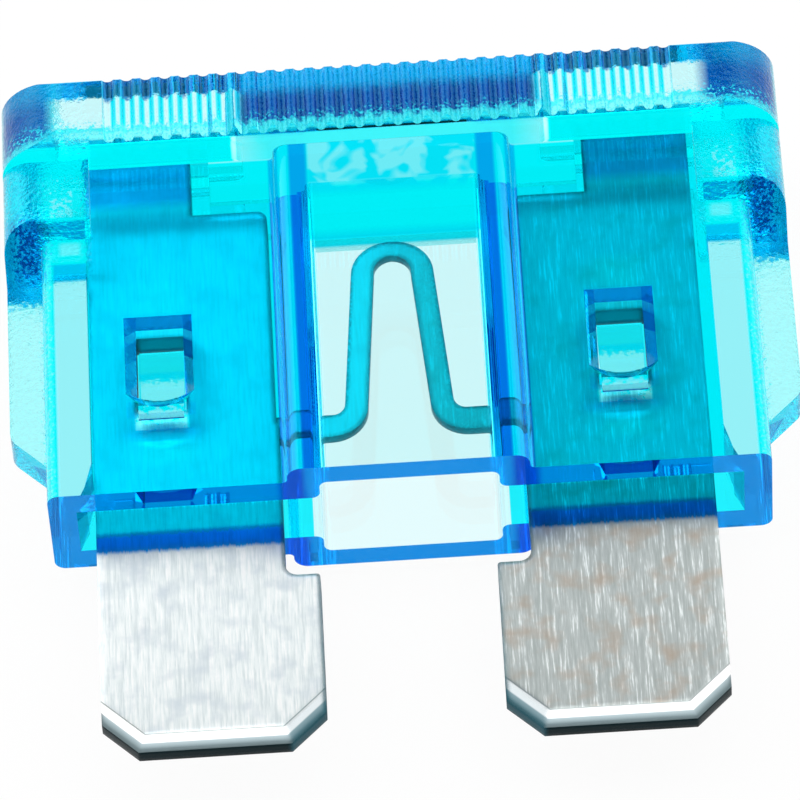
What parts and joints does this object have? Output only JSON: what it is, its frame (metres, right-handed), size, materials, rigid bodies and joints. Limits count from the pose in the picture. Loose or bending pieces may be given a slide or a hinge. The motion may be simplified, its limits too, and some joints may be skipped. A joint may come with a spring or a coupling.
{
  "type": "automotive blade fuse",
  "caption": "Regular-size automotive blade fuse: transparent blue moulded housing with ribbed head, staked onto a stamped metal strip with flat blades and an arched fuse link.",
  "frame": {"origin": "centre of the bounding box at its bottom: the fuse lies on its back on the surface", "axes": "+X across the width over the head, +Y from the blades towards the head, +Z through the thickness, out of the front face"},
  "size_m": [0.019, 0.0186, 0.0051],
  "materials": {
    "housing_plastic": "transparent blue polycarbonate, moulded, glossy, with spark-eroded texture on the collars and wings",
    "strip_metal": "bare rolled zinc alloy, grain along the blades, coined tips"
  },
  "bodies": {
    "root": {"housing": "housing_plastic", "fuse_strip": "strip_metal"}
  },
  "joints": []
}
